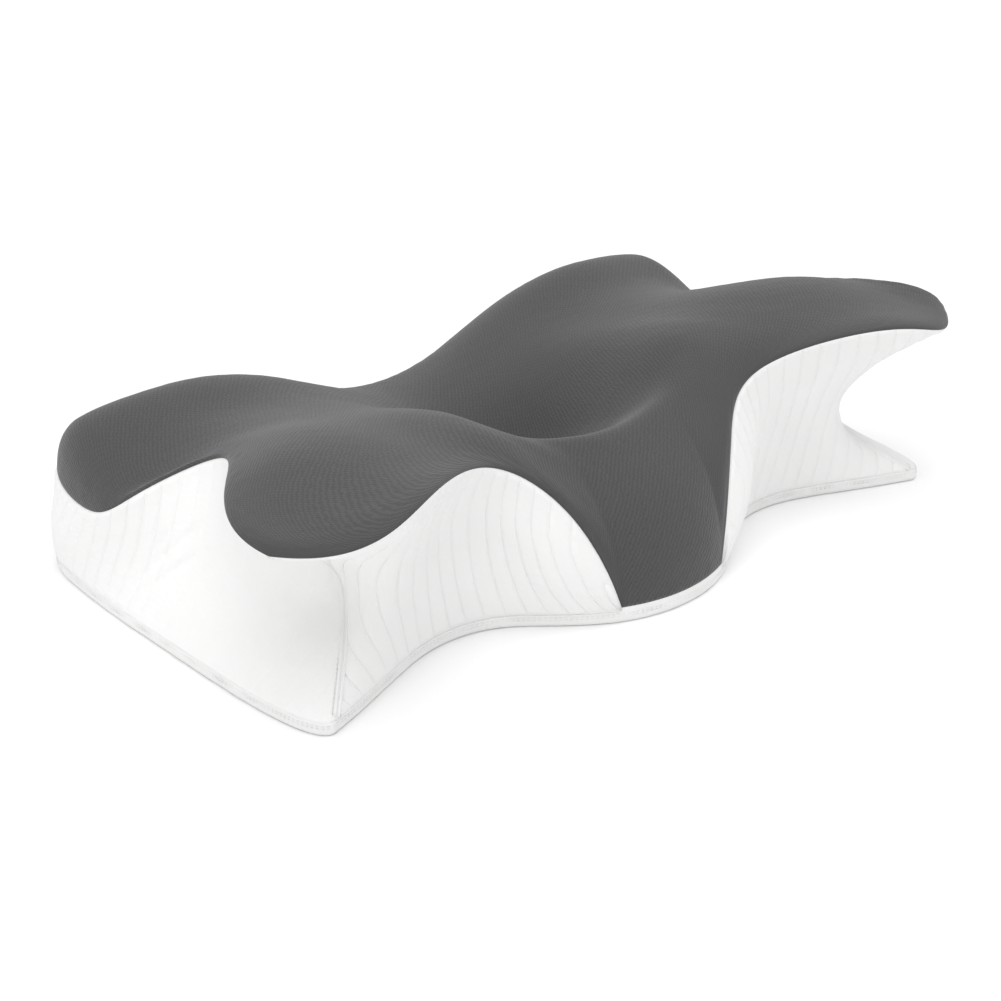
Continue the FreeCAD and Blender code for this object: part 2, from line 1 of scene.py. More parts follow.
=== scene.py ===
import math

import bmesh
import bpy
import numpy as np
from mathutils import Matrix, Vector
from mathutils.bvhtree import BVHTree
from mathutils.geometry import delaunay_2d_cdt


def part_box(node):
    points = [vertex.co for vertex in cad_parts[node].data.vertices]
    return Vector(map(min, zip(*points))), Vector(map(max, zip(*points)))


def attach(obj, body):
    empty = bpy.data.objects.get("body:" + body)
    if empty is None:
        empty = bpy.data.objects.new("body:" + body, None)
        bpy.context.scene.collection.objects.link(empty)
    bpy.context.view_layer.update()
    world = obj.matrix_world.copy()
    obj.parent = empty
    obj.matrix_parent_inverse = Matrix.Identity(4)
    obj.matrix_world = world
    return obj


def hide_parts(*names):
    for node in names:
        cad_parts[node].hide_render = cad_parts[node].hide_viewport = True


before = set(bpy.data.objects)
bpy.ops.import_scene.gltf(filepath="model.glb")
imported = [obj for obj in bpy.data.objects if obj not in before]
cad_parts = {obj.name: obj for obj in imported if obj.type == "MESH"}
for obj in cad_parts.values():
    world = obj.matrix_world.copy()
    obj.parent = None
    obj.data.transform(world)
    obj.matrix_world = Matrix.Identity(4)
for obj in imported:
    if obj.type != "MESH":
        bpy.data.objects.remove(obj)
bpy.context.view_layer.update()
SCENE = bpy.context.scene

# Contoured neck pillow: a grey knit top and quilted white walls over a foam core, with a zip behind.
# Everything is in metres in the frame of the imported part: +Z up, the neck edge towards -Y.

MM = 0.001
BODY = "pillow"

# ---- Lines that the cover is cut to ----

# Stations round the right half of the outline, from the middle of the back to the middle of the
# front, in millimetres: a point of the base outline, the waist of the wall and the top seam.
STATIONS = [
    ((0, 168, 0), (0, 165.5, 30), (0, 150, 52)),
    ((100, 167.8, 0), (100, 166.6, 32), (100, 162, 55)),
    ((205, 167.6, 0), (208, 167.2, 42), (212, 165, 72)),
    ((269, 154, 0), (270, 152, 36), (267, 149, 66)),
    ((285, 105, 0), (284, 98, 34), (278, 88, 61)),
    ((287, 45, 0), (268, 42, 46), (262, 50, 83)),
    ((286, -16, 0), (254, -4, 56), (230, 4, 113)),
    ((282, -110, 0), (242, -64, 56), (279, -75, 131)),
    ((263, -154, 0), (216, -100, 64), (296, -144, 124)),
    ((206, -132, 0), (206, -130, 78), (246, -178, 130)),
    ((158, -116, 0), (176, -130, 84), (194, -164, 138)),
    ((116, -120, 0), (133, -122, 82), (122, -127, 119)),
    ((85, -141, 0), (92, -148, 54), (77, -143, 85)),
    ((46, -168, 0), (46, -168, 10), (46, -168, 11.5)),
    ((0, -178, 0), (0, -178, 10), (0, -178, 11.5)),
]
BASE, SEAM = 0, 2
BACK_JOIN, BACK_CORNER, FRONT_CORNER, TONGUE_CORNER, FRONT_MIDDLE = 2, 3, 8, 13, 14
CENTRE_Y = 3.0            # the stations' origin lies this far behind the part's
STRIP = 9.0 * MM          # height of the plain band

# Stretches of stations that one smooth line runs through.
SMOOTH_BACK = (-FRONT_CORNER, FRONT_CORNER)
SMOOTH_FRONT = (FRONT_CORNER, 2 * FRONT_MIDDLE - FRONT_CORNER)
SIDE_ONLY = (FRONT_CORNER, TONGUE_CORNER)
TONGUE_ONLY = (TONGUE_CORNER, 2 * FRONT_MIDDLE - TONGUE_CORNER)
ROUND = (SMOOTH_BACK,) * 3
SIDES = (SMOOTH_FRONT, SIDE_ONLY, SIDE_ONLY)

# Where the stations lie along the edges of the top: shares of the half width in front, of the depth
# at the ends.
FRONT_SHARE = [1.0, 0.8, 0.6, 0.43, 0.28, 0.2, 0.0]
END_SHARE = [0.0, 0.18, 0.33, 0.51, 0.78, 1.0]
TONGUE_SHARE = FRONT_SHARE[TONGUE_CORNER - FRONT_CORNER]

# Relief of the top in millimetres: hills and hollows (rise, centre x, centre y, spread x, spread y)
# on a plateau. Those off the middle stand on both sides of it.
PLATEAU = 98.0
RELIEF = [
    (12, 0, -108, 95, 20),
    (-58, 0, -10, 58, 72),
    (-33, 0, 138, 90, 100),
    (46, 214, -85, 125, 130),
    (13, 102, -73, 33, 70),
    (16, 195, 145, 105, 55),
    (-60, 330, 40, 85, 58),
]

# The top rolls down to its seam over these shares of its depth and half width, and stands at least
# EDGE_RISE above the seam once it has rolled up from it.
ROLL_BACK, ROLL_FRONT, ROLL_END, ROLL_LOBE = 0.165, 0.25, 0.1, 0.18
EDGE_RISE, EDGE_BLEND = 8.0 * MM, 6.0 * MM

PITCH = 13.5 * MM         # width of a quilted channel
GROOVE = 0.85 * MM        # depth of the furrow that a stitch line pulls in
CROWN = 0.55 * MM         # how far the middle of a channel bulges between its furrows
FURROW = 0.85 * MM        # width of the furrow
WANDER = 0.05             # how far the stitch lines stray, as a share of the pitch
GATHER = 0.13 * MM        # small puckers all over the quilting
SLACK = 0.7 * MM          # broad unevenness of the walls
LEAN_REACH = 70 * MM      # length past the anchor over which channels come to their full lean
TAUT_PUFF = 0.12          # what is left of the quilting where a wall is pulled tight
TAUT_REACH = 45 * MM      # length over which it comes back
FABRIC = 1.6 * MM         # thickness of the quilted and knit panels
SEWN = 4 * MM             # distance from a seam at which the fabric has its full relief

# Slope at the end of a smooth line, from its first points.
END_SLOPES = {3: (-1.5, 2.0, -0.5), 4: (-11 / 6, 3.0, -1.5, 1 / 3)}


def station(level, number):
    """Point of a station in metres, mirrored for a station of the left half."""
    mirrored = number < 0 or number > FRONT_MIDDLE
    number = abs(number) if number < 0 else min(number, 2 * FRONT_MIDDLE - number)
    x, y, z = STATIONS[number][level]
    return np.array([-x if mirrored else x, y + CENTRE_Y, z]) * MM


def hermite(start, start_slope, end, end_slope, t):
    """Points at t on the cubics that leave start and reach end with the given slopes."""
    return (start * (2 * t ** 3 - 3 * t ** 2 + 1) + start_slope * (t ** 3 - 2 * t ** 2 + t)
            + end * (3 * t ** 2 - 2 * t ** 3) + end_slope * (t ** 3 - t ** 2))


def smooth_line(level, first, last):
    """Smooth line through the stations of a level, as a function of the station number."""
    points = np.array([station(level, number) for number in range(first, last + 1)])
    count = len(points)
    rows = 4 * np.eye(count) + np.eye(count, k=1) + np.eye(count, k=-1)
    slopes = np.zeros_like(points)
    slopes[1:-1] = 3 * (points[2:] - points[:-2])
    weights = np.array(END_SLOPES[min(count, 4)])
    for end, side in ((0, 1), (count - 1, -1)):
        rows[end] = 0
        rows[end, end] = 1
        slopes[end] = side * weights @ points[::side][:len(weights)]
    slopes = np.linalg.solve(rows, slopes)

    def at(number):
        number = np.atleast_1d(np.asarray(number, float)) - first
        k = np.clip(np.floor(number).astype(int), 0, count - 2)
        t = (number - k)[:, None]
        return hermite(points[k], slopes[k], points[k + 1], slopes[k + 1], t)
    return at


def mirrored(grid):
    """The grid's mirror image in x = 0, turned round so that it still faces out."""
    return grid[:, ::-1] * np.array([-1.0, 1.0, 1.0])


def unit(vectors):
    """The vectors at length 1."""
    return vectors / np.linalg.norm(vectors, axis=-1, keepdims=True)


def run(points):
    """Length along a line up to each of its points."""
    return np.concatenate([[0.0], np.cumsum(np.linalg.norm(np.diff(points, axis=0), axis=1))])


def between(at, along, values):
    """Rows of values interpolated at the given lengths along a line."""
    return np.stack([np.interp(at, along, column) for column in values.T], axis=1)


def lengths(grid, axis):
    """Length from the first row (axis 0) or column (axis 1) to each point of the grid."""
    steps = np.linalg.norm(np.diff(grid, axis=axis), axis=2)
    start = np.zeros_like(np.take(steps, [0], axis=axis))
    return np.concatenate([start, np.cumsum(steps, axis=axis)], axis=axis)


def evenly(grid, knots_at, counts):
    """The grid's columns resampled at even steps between the given lengths along each of them."""
    along = lengths(grid, 0)
    shares = [knots_at[0]]
    for low, high, count in zip(knots_at, knots_at[1:], counts):
        shares += [low + (high - low) * k / count for k in range(1, count + 1)]
    targets = np.array(shares)
    columns = range(grid.shape[1])
    return np.stack([between(targets[:, c], along[:, c], grid[:, c]) for c in columns], axis=1)


def wall(levels, numbers, rows, knee=None):
    """Wall above the band as a grid, rows going up. With a knee, one row lies at that height."""
    base, waist, seam = (smooth_line(level, *stretch)(numbers) for level, stretch in enumerate(levels))
    foot = base * [1, 1, 0] + [0, 0, STRIP]
    low = np.maximum(np.linalg.norm(waist - foot, axis=1, keepdims=True), 1e-6)
    high = np.maximum(np.linalg.norm(seam - waist, axis=1, keepdims=True), 1e-6)
    slope = (seam - foot) / (low + high)
    foot_slope = (waist - foot) * 1.5 / low - slope * 0.5
    seam_slope = (seam - waist) * 1.5 / high - slope * 0.5
    t = np.linspace(0, 1, 61)[:, None, None]
    lower = hermite(foot, foot_slope * low, waist, slope * low, t)
    upper = hermite(waist, slope * high, seam, seam_slope * high, t)
    fine = np.concatenate([lower, upper[1:]])
    along = lengths(fine, 0)
    zero = np.zeros(fine.shape[1])
    if knee is None:
        return evenly(fine, [zero, along[-1]], [rows])
    at_knee = np.array([np.interp(knee, fine[:, c, 2], along[:, c]) for c in range(fine.shape[1])])
    return evenly(fine, [zero, at_knee, along[-1]], [rows // 5, rows - rows // 5])


def even_numbers(levels, first, last, step):
    """Station numbers about one step apart along the longest of the three lines."""
    dense = np.linspace(first, last, 1601)
    lines = [smooth_line(level, *stretch)(dense) for level, stretch in enumerate(levels)]
    steps = [np.linalg.norm(np.diff(line, axis=0), axis=1) for line in lines]
    along = np.concatenate([[0.0], np.cumsum(np.max(steps, axis=0))])
    return np.interp(np.linspace(0, along[-1], int(along[-1] / step) + 1), along, dense)


# ---- Top ----

def roll_steps(share, steps):
    """Positions from a seam up over a rounded edge that takes the given share."""
    return share * (1 - np.cos(math.pi / 2 * np.arange(steps) / steps))


def share_to_station(share, shares, first):
    """Station numbers at the shares, which fall or rise along the list of shares."""
    order = np.argsort(shares)
    return np.interp(share, np.array(shares)[order], first + order)


def lift(distance, share):
    """How far the top has risen from the seam to its full height, round an elliptical edge."""
    return np.sqrt(1 - np.maximum(1 - distance / share, 0.0) ** 2)


def nearness(distance, share):
    """1 at a seam, falling softly to 0 where the rolled edge ends."""
    return np.maximum(1 - distance / share, 0.0) ** 2


def relief(x, y):
    """Height of the top, away from its rolled edges."""
    height = np.full(x.shape, PLATEAU)
    for rise, centre_x, centre_y, spread_x, spread_y in RELIEF:
        along = np.exp(-((y / MM - CENTRE_Y - centre_y) / spread_y) ** 2)
        across = np.exp(-((x / MM - centre_x) / spread_x) ** 2)
        if centre_x:
            across = across + np.exp(-((x / MM + centre_x) / spread_x) ** 2)
        height = height + rise * along * across
    return height * MM


def top_surface(step):
    """The knit top as a grid: rows from the back to the front, columns from left to right."""
    def count(size):
        return max(int(size / step), 2)
    depths = np.concatenate([
        roll_steps(ROLL_BACK, count(0.075)),
        np.linspace(ROLL_BACK, 1 - ROLL_FRONT, count(0.2), endpoint=False),
        (1 - np.append(roll_steps(ROLL_FRONT, count(0.16)), ROLL_FRONT))[::-1]])
    half = np.concatenate([
        np.linspace(0, TONGUE_SHARE, count(0.06), endpoint=False),
        np.linspace(TONGUE_SHARE, 1 - ROLL_END, count(0.21), endpoint=False),
        (1 - np.append(roll_steps(ROLL_END, count(0.055)), ROLL_END))[::-1]])
    seam_back = smooth_line(SEAM, *SMOOTH_BACK)
    seam_side = smooth_line(SEAM, *SIDE_ONLY)
    seam_tongue = smooth_line(SEAM, *TONGUE_ONLY)
    numbers = share_to_station(half, FRONT_SHARE, FRONT_CORNER)
    on_tongue = (half < TONGUE_SHARE - 1e-9)[:, None]
    side = seam_side(np.minimum(numbers, TONGUE_CORNER))
    front = np.where(on_tongue, seam_tongue(np.maximum(numbers, TONGUE_CORNER)), side)[None]
    back = seam_back(BACK_CORNER * half)[None]
    end = seam_back(share_to_station(depths, END_SHARE, BACK_CORNER))[:, None]
    u, v = depths[:, None, None], half[None, :, None]
    middle = back[:, :1] * (1 - u) + front[:, :1] * u
    corners = ((back[:, :1] * (1 - v) + back[:, -1:] * v) * (1 - u)
               + (front[:, :1] * (1 - v) + front[:, -1:] * v) * u)
    p = back * (1 - u) + front * u + middle * (1 - v) + end * v - corners
    edges = ((u, ROLL_BACK), (1 - u, ROLL_FRONT), (1 - v, ROLL_LOBE + (ROLL_END - ROLL_LOBE) * u))
    raised = math.prod(lift(*edge) for edge in edges)[..., 0]
    near = 1 - math.prod(1 - nearness(*edge) for edge in edges)[..., 0]
    height = relief(p[..., 0], p[..., 1])
    short = p[..., 2] + EDGE_RISE - height
    height = height + near * (short + np.hypot(short, EDGE_BLEND)) / 2
    p[..., 2] = p[..., 2] * (1 - raised) + height * raised
    return np.concatenate([mirrored(p)[:, :-1], p], axis=1)


# ---- Grids on the frame ----

def blur(values, passes):
    """The array evened out along both directions, with its border kept."""
    for _ in range(passes):
        values = values.copy()
        values[1:-1] = (values[:-2] + 2 * values[1:-1] + values[2:]) / 4
        values[:, 1:-1] = (values[:, :-2] + 2 * values[:, 1:-1] + values[:, 2:]) / 4
    return values


def grid_normals(grid, passes=2):
    """Outward directions over a grid whose rows go up and whose columns go round to the right."""
    across = np.gradient(grid, axis=1)
    up = np.gradient(grid, axis=0)
    normals = np.cross(up, across)
    normals /= np.maximum(np.linalg.norm(normals, axis=2, keepdims=True), 1e-12)
    normals = blur(normals, passes)
    return normals / np.maximum(np.linalg.norm(normals, axis=2, keepdims=True), 1e-12)


def skin_tree(names):
    """Search tree over the named CAD nodes."""
    vertices, triangles = [], []
    for name in names:
        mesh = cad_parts[name].data
        start = len(vertices)
        vertices += [v.co.copy() for v in mesh.vertices]
        triangles += [[start + i for i in p.vertices] for p in mesh.polygons]
    return BVHTree.FromPolygons(vertices, triangles)


COVER_NODES = ["top_panel", "base_panel", "back_side_panel", "end_panel_left", "end_panel_right",
               "front_side_panel_left", "front_side_panel_right"]
SKIN = skin_tree(COVER_NODES)
REACH = 4 * MM


def onto_frame(grid, inset=3):
    """The grid moved onto the outside of the CAD cover, easing to no move at its border."""
    normals = grid_normals(grid)
    shift = np.zeros(grid.shape[:2])
    for row in range(inset, grid.shape[0] - inset):
        for column in range(inset, grid.shape[1] - inset):
            out = Vector(normals[row, column])
            hit, facing, _, away = SKIN.ray_cast(Vector(grid[row, column]) + out * REACH, -out, 2 * REACH)
            if hit is not None and facing.dot(out) > 0.5:
                shift[row, column] = REACH - away
    return grid + normals * blur(shift, 4)[..., None]


def ripple(u, v, size, seed, waves=7):
    """Gentle unrepeating waves between about -1 and 1, of the given size, over two coordinates."""
    draw = np.random.default_rng(seed)
    total = np.zeros(np.broadcast(u, v).shape)
    for _ in range(waves):
        turn, phase = draw.uniform(0, 2 * math.pi, 2)
        stretch = draw.uniform(0.6, 1.6)
        total += np.sin((u * math.cos(turn) + v * math.sin(turn)) * 2 * math.pi * stretch / size + phase)
    return total / math.sqrt(waves) * 0.8


def ease(value):
    """0 below 0, 1 above 1 and a smooth step between."""
    value = np.clip(value, 0, 1)
    return value * value * (3 - 2 * value)


def linked(name, data):
    """New object of the given data, in the scene."""
    made = bpy.data.objects.new(name, data)
    SCENE.collection.objects.link(made)
    return made


def smooth_shaded(mesh):
    """Shades the whole mesh smooth."""
    mesh.polygons.foreach_set("use_smooth", [True] * len(mesh.polygons))


def lay_cloth(mesh, uvs):
    """Gives the mesh its coordinates along the fabric: one pair for each vertex, in metres."""
    layer = mesh.uv_layers.new(name="cloth")
    loops = np.empty(len(mesh.loops), int)
    mesh.loops.foreach_get("vertex_index", loops)
    layer.data.foreach_set("uv", np.asarray(uvs, float)[loops].ravel())


def add_object(name, vertices, faces, uvs):
    """Smooth-shaded mesh object."""
    mesh = bpy.data.meshes.new(name)
    mesh.from_pydata([tuple(v) for v in vertices], [], [tuple(f) for f in faces])
    smooth_shaded(mesh)
    lay_cloth(mesh, uvs)
    mesh.update()
    return linked(name, mesh)


def ring_faces(start, rings, around):
    """Quads between closed rings of points, which are numbered ring by ring from start."""
    faces = []
    for ring in range(rings - 1):
        for k in range(around):
            here = start + ring * around + k
            beside = start + ring * around + (k + 1) % around
            faces.append((here, beside, beside + around, here + around))
    return faces


def turned(faces):
    """The quads facing the other way."""
    return [(a, d, c, b) for a, b, c, d in faces]


def vertex_values(mesh, field):
    """A vector field of the mesh's vertices, as rows."""
    values = np.empty(len(mesh.vertices) * 3)
    mesh.vertices.foreach_get(field, values)
    return values.reshape(-1, 3)


def cad_copy(node):
    """Bare copy of a CAD node's mesh."""
    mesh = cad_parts[node].data.copy()
    mesh.materials.clear()
    return mesh


def welded(mesh, flatten=None):
    """The mesh with its doubled vertices joined and, given an angle, its flat areas merged."""
    work = bmesh.new()
    work.from_mesh(mesh)
    bmesh.ops.remove_doubles(work, verts=work.verts, dist=1e-6)
    if flatten is not None:
        bmesh.ops.dissolve_limit(work, angle_limit=flatten, verts=work.verts, edges=work.edges)
    work.to_mesh(mesh)
    work.free()
    return mesh


def fix_normals(piece):
    """Turns every face of a closed mesh outward."""
    mesh = bmesh.new()
    mesh.from_mesh(piece.data)
    bmesh.ops.recalc_face_normals(mesh, faces=mesh.faces)
    mesh.to_mesh(piece.data)
    mesh.free()
    return piece


def apply_modifiers(piece):
    """Leaves the piece with the mesh that its modifiers make."""
    bpy.context.view_layer.update()
    mesh = bpy.data.meshes.new_from_object(piece.evaluated_get(bpy.context.evaluated_depsgraph_get()))
    piece.modifiers.clear()
    piece.data = mesh
    return piece


def cloth_depth(nearest):
    """Thickness of a panel, which thins out towards its sewn edges."""
    return np.minimum(FABRIC, 0.1 * MM + 0.25 * nearest)[..., None]


def shell(name, grid, inner, uv, number=None, hole=None):
    """Closed sheet of fabric: the grid, the inner layer under it and a rim round their edges.

    number says which point stands at each place of the grid, where some places share one.
    """
    count = grid.shape[0] * grid.shape[1]
    if number is None:
        number = np.arange(count).reshape(grid.shape[:2])
    keep = np.ones((grid.shape[0] - 1, grid.shape[1] - 1), bool) if hole is None else ~hole
    a, b, c, d = number[:-1, :-1], number[:-1, 1:], number[1:, 1:], number[1:, :-1]
    outer = []
    for quad in np.stack([a, d, c, b], axis=-1)[keep].tolist():
        face = [i for i, before in zip(quad, quad[-1:] + quad[:-1]) if i != before]
        if len(face) > 2:
            outer.append(face)
    edges = {}
    for face in outer:
        for i, j in zip(face, face[1:] + face[:1]):
            if edges.pop((j, i), None) is None:
                edges[(i, j)] = True
    faces = outer + [[i + count for i in reversed(face)] for face in outer]
    faces += [[j, i, i + count, j + count] for i, j in edges]
    used = sorted({i for face in faces for i in face})
    renumber = {old: new for new, old in enumerate(used)}
    points = np.concatenate([grid.reshape(-1, 3), inner.reshape(-1, 3)])
    both = np.concatenate([uv.reshape(-1, 2)] * 2)
    return add_object(name, points[used], [[renumber[i] for i in face] for face in faces], both[used])


def finish_piece(piece, material, slot, *nodes, body=BODY, fill=None):
    """Gives a piece its material and body, and hides the CAD nodes that it stands for."""
    piece.data.materials.append(material)
    if nodes:
        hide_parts(*nodes)
    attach(piece, body)
    return piece


# ---- Materials ----

class Nodes:
    """Short calls for building a node material on one Principled shader."""

    def __init__(self, name, rough, sheen=0.0, metallic=0.0, tint=(1, 1, 1)):
        self.material = bpy.data.materials.new(name)
        self.material.use_nodes = True
        self.tree = self.material.node_tree
        self.shader = self.tree.nodes["Principled BSDF"]
        self.fill(self.shader, {"Roughness": rough, "Metallic": metallic, "Sheen Weight": sheen,
                                "Sheen Roughness": 0.45, "Sheen Tint": (*tint, 1)})

    def fill(self, node, values):
        """Sets the inputs of a node: an output is linked, anything else is a value."""
        for name, value in values.items():
            if isinstance(value, bpy.types.NodeSocket):
                self.tree.links.new(value, node.inputs[name])
            else:
                node.inputs[name].default_value = value

    def add(self, kind, **settings):
        """New node of a kind, with its settings."""
        node = self.tree.nodes.new(kind)
        for key, value in settings.items():
            setattr(node, key, value)
        return node

    def math(self, operation, first, second=0.5, third=0.0):
        """Result of an operation on numbers or outputs."""
        node = self.add("ShaderNodeMath", operation=operation)
        self.fill(node, {0: first, 1: second, 2: third})
        return node.outputs[0]

    def cloth(self):
        """The two coordinates along the fabric, in metres."""
        split = self.add("ShaderNodeSeparateXYZ")
        self.fill(split, {0: self.add("ShaderNodeUVMap", uv_map="cloth").outputs[0]})
        return split.outputs[0], split.outputs[1]

    def place(self):
        """Position on the object, in metres."""
        return self.add("ShaderNodeTexCoord").outputs["Object"]

    def noise(self, vector, scale, detail=3.0, rough=0.5):
        """Cloudy value from 0 to 1."""
        node = self.add("ShaderNodeTexNoise")
        self.fill(node, {"Vector": vector, "Scale": scale, "Detail": detail, "Roughness": rough})
        return node.outputs["Fac"]

    def cells(self, vector, scale):
        """Distance from the middles of small cells."""
        node = self.add("ShaderNodeTexVoronoi")
        self.fill(node, {"Vector": vector, "Scale": scale})
        return node.outputs["Distance"]

    def ramp(self, value, stops):
        """Colour that blends between stops (value, colour)."""
        node = self.add("ShaderNodeValToRGB")
        self.fill(node, {0: value})
        while len(node.color_ramp.elements) < len(stops):
            node.color_ramp.elements.new(0.5)
        for element, (at, colour) in zip(node.color_ramp.elements, stops):
            element.position = at
            element.color = (*colour, 1)
        return node.outputs[0]

    def wave(self, along, period, shift=0.0):
        """Sine of a coordinate in metres, from -1 to 1."""
        return self.math("SINE", self.math("MULTIPLY_ADD", along, 2 * math.pi / period, shift))

    def colour(self, source):
        """Sets the base colour."""
        self.fill(self.shader, {"Base Color": source})

    def roughness(self, source, at_zero, at_one):
        """Sets the roughness from its values where the source is 0 and 1."""
        node = self.add("ShaderNodeMapRange")
        self.fill(node, {"Value": source, "To Min": at_zero, "To Max": at_one})
        self.fill(self.shader, {"Roughness": node.outputs[0]})

    def bump(self, height, distance, strength=1.0):
        """Sets the fine relief."""
        node = self.add("ShaderNodeBump")
        self.fill(node, {"Distance": distance, "Strength": strength, "Height": height})
        self.fill(self.shader, {"Normal": node.outputs[0]})


RIB = 3.7 * MM            # pitch of the knit's ribs
RIB_SLANT = 0.863         # their lean, across for each length up


def grey_knit():
    """Dark-grey knit with fine uneven slanting ribs, crossed by fainter ones, with painted highlight on the
    rib crests and painted shade in the troughs.
    """
    n = Nodes("grey_diamond_knit", 0.85, sheen=0.3, tint=(0.86, 0.86, 0.88))
    n.fill(n.shader, {"Specular IOR Level": 0.2})
    u, v = n.cloth()
    drift = n.noise(n.place(), 26.0, 2.0)
    kink = n.noise(n.place(), 260.0, 2.0)
    push = n.math("MULTIPLY_ADD", drift, 5.0, n.math("MULTIPLY", kink, 8.0))
    pull = n.math("MULTIPLY_ADD", drift, -5.0, n.math("MULTIPLY", kink, 8.0))
    slant = n.math("MULTIPLY", v, RIB_SLANT)
    right = n.wave(n.math("ADD", u, slant), RIB, push)
    left = n.wave(n.math("SUBTRACT", u, slant), RIB, pull)
    ribs = n.math("MULTIPLY_ADD", left, 0.3, right)
    height = n.math("MULTIPLY_ADD", n.noise(n.place(), 1000.0, 2.0), 0.7, ribs)
    clouds = n.math("MULTIPLY_ADD", n.noise(n.place(), 9.0, 4.0), 0.3, 0.3)
    # The colour follows the rib height: painted highlight on the crests and painted shade in the troughs,
    # over a random cloudy tone.
    shade = n.math("MULTIPLY_ADD", height, 0.11, clouds)
    n.colour(n.ramp(shade, [(0.2, (0.056, 0.056, 0.057)), (0.5, (0.076, 0.076, 0.077)),
                            (0.85, (0.1, 0.1, 0.101))]))
    n.roughness(shade, 0.92, 0.78)
    n.bump(height, 0.14 * MM, 0.65)
    return n.material


def white_cloth(name, tone=(0.86, 0.86, 0.855), loop=0.9, relief=0.12):
    """White jersey: small loops in columns, with painted shade between the loops and faint unevenness in
    tone.
    """
    n = Nodes(name, 0.85, sheen=0.18)
    u, v = n.cloth()
    drift = n.noise(n.place(), 60.0, 2.0)
    column = n.math("ABSOLUTE", n.wave(u, 2 * loop * MM, n.math("MULTIPLY", drift, 5.0)))
    course = n.wave(v, 0.8 * loop * MM, n.math("MULTIPLY", column, 2.4))
    height = n.math("MULTIPLY_ADD", course, 0.35, column)
    height = n.math("MULTIPLY_ADD", n.noise(n.place(), 900.0, 3.0), 0.6, height)
    clouds = n.math("MULTIPLY_ADD", n.noise(n.place(), 14.0, 4.0), 0.35, 0.3)
    # The colour follows the loop height: painted shade in the hollows between the loops, lighter on their
    # tops, over a random cloudy tone.
    shade = n.math("MULTIPLY_ADD", height, 0.12, clouds)
    darker = tuple(0.93 * value for value in tone)
    lighter = tuple(min(1.03 * value, 0.92) for value in tone)
    n.colour(n.ramp(shade, [(0.2, darker), (0.55, tone), (0.85, lighter)]))
    n.roughness(shade, 0.92, 0.76)
    n.bump(height, relief * MM, 0.6)
    return n.material


def woven_tape():
    """White herringbone tape."""
    n = Nodes("zip_tape_weave", 0.75, sheen=0.1)
    u, v = n.cloth()
    chevron = n.math("ABSOLUTE", n.wave(v, 5 * MM))
    height = n.math("MULTIPLY", n.wave(u, 0.7 * MM, n.math("MULTIPLY", chevron, 4.0)), n.wave(v, 0.6 * MM))
    # The colour follows the weave height: lighter on the raised yarns and darker between them, a painted
    # shade of the weave.
    shade = n.math("MULTIPLY_ADD", height, 0.3, 0.5)
    n.colour(n.ramp(shade, [(0.2, (0.74, 0.74, 0.73)), (0.8, (0.86, 0.86, 0.85))]))
    n.bump(height, 0.12 * MM, 0.8)
    return n.material


def thread():
    """White polyester sewing thread, with its twist."""
    n = Nodes("white_thread", 0.5, sheen=0.15)
    u, v = n.cloth()
    twist = n.wave(n.math("ADD", u, v), 0.45 * MM)
    # The colour follows the twist: lighter on its ridges and darker in its grooves, a painted shade of the
    # twist.
    shade = n.math("MULTIPLY_ADD", twist, 0.4, 0.5)
    n.colour(n.ramp(shade, [(0.2, (0.78, 0.78, 0.77)), (0.8, (0.9, 0.9, 0.89))]))
    n.bump(twist, 0.05 * MM)
    return n.material


def moulded_plastic():
    """Slightly yellowed white nylon of the zip's teeth."""
    n = Nodes("zip_nylon", 0.38)
    flow = n.noise(n.place(), 700.0, 3.0)
    n.colour(n.ramp(flow, [(0.3, (0.76, 0.76, 0.74)), (0.7, (0.84, 0.84, 0.82))]))
    n.roughness(flow, 0.3, 0.48)
    n.bump(flow, 0.03 * MM, 0.5)
    return n.material


def plated_metal():
    """Nickel plate with rub marks."""
    n = Nodes("zip_nickel", 0.25, metallic=1.0)
    rub = n.noise(n.place(), 420.0, 5.0, 0.65)
    n.colour(n.ramp(rub, [(0.3, (0.5, 0.5, 0.49)), (0.7, (0.68, 0.68, 0.66))]))
    n.roughness(rub, 0.18, 0.42)
    n.bump(rub, 0.02 * MM, 0.4)
    return n.material


def open_foam():
    """Cream slow-recovery foam with fine open cells."""
    n = Nodes("memory_foam", 0.95)
    cells = n.cells(n.place(), 900.0)
    tone = n.math("MULTIPLY_ADD", n.noise(n.place(), 20.0, 4.0), 0.5, n.math("MULTIPLY", cells, 0.5))
    n.colour(n.ramp(tone, [(0.25, (0.72, 0.68, 0.58)), (0.7, (0.85, 0.82, 0.74))]))
    n.bump(cells, 0.3 * MM, 0.7)
    return n.material


# ---- Pieces of the cover ----

# Slack folds in the end walls, as (start, end, width, depth) in millimetres, on the right-hand wall.
LEFT_FOLDS = [
    ((277, 42, 26), (258, 32, 61), 2.4, 1.3),
    ((272, 26, 31), (255, 4, 56), 2.6, 1.4),
    ((270, 36, 37), (246, 8, 75), 2.2, 1.1),
]
RIGHT_FOLDS = [
    ((279, 30, 22), (262, 18, 50), 2.4, 1.2),
    ((272, -20, 30), (252, 6, 66), 2.6, 1.1),
]


def lip(distance, height, width):
    """A soft fold beside a seam: nothing at the seam, highest at one width from it."""
    return height * distance / width * np.exp(1 - distance / width)


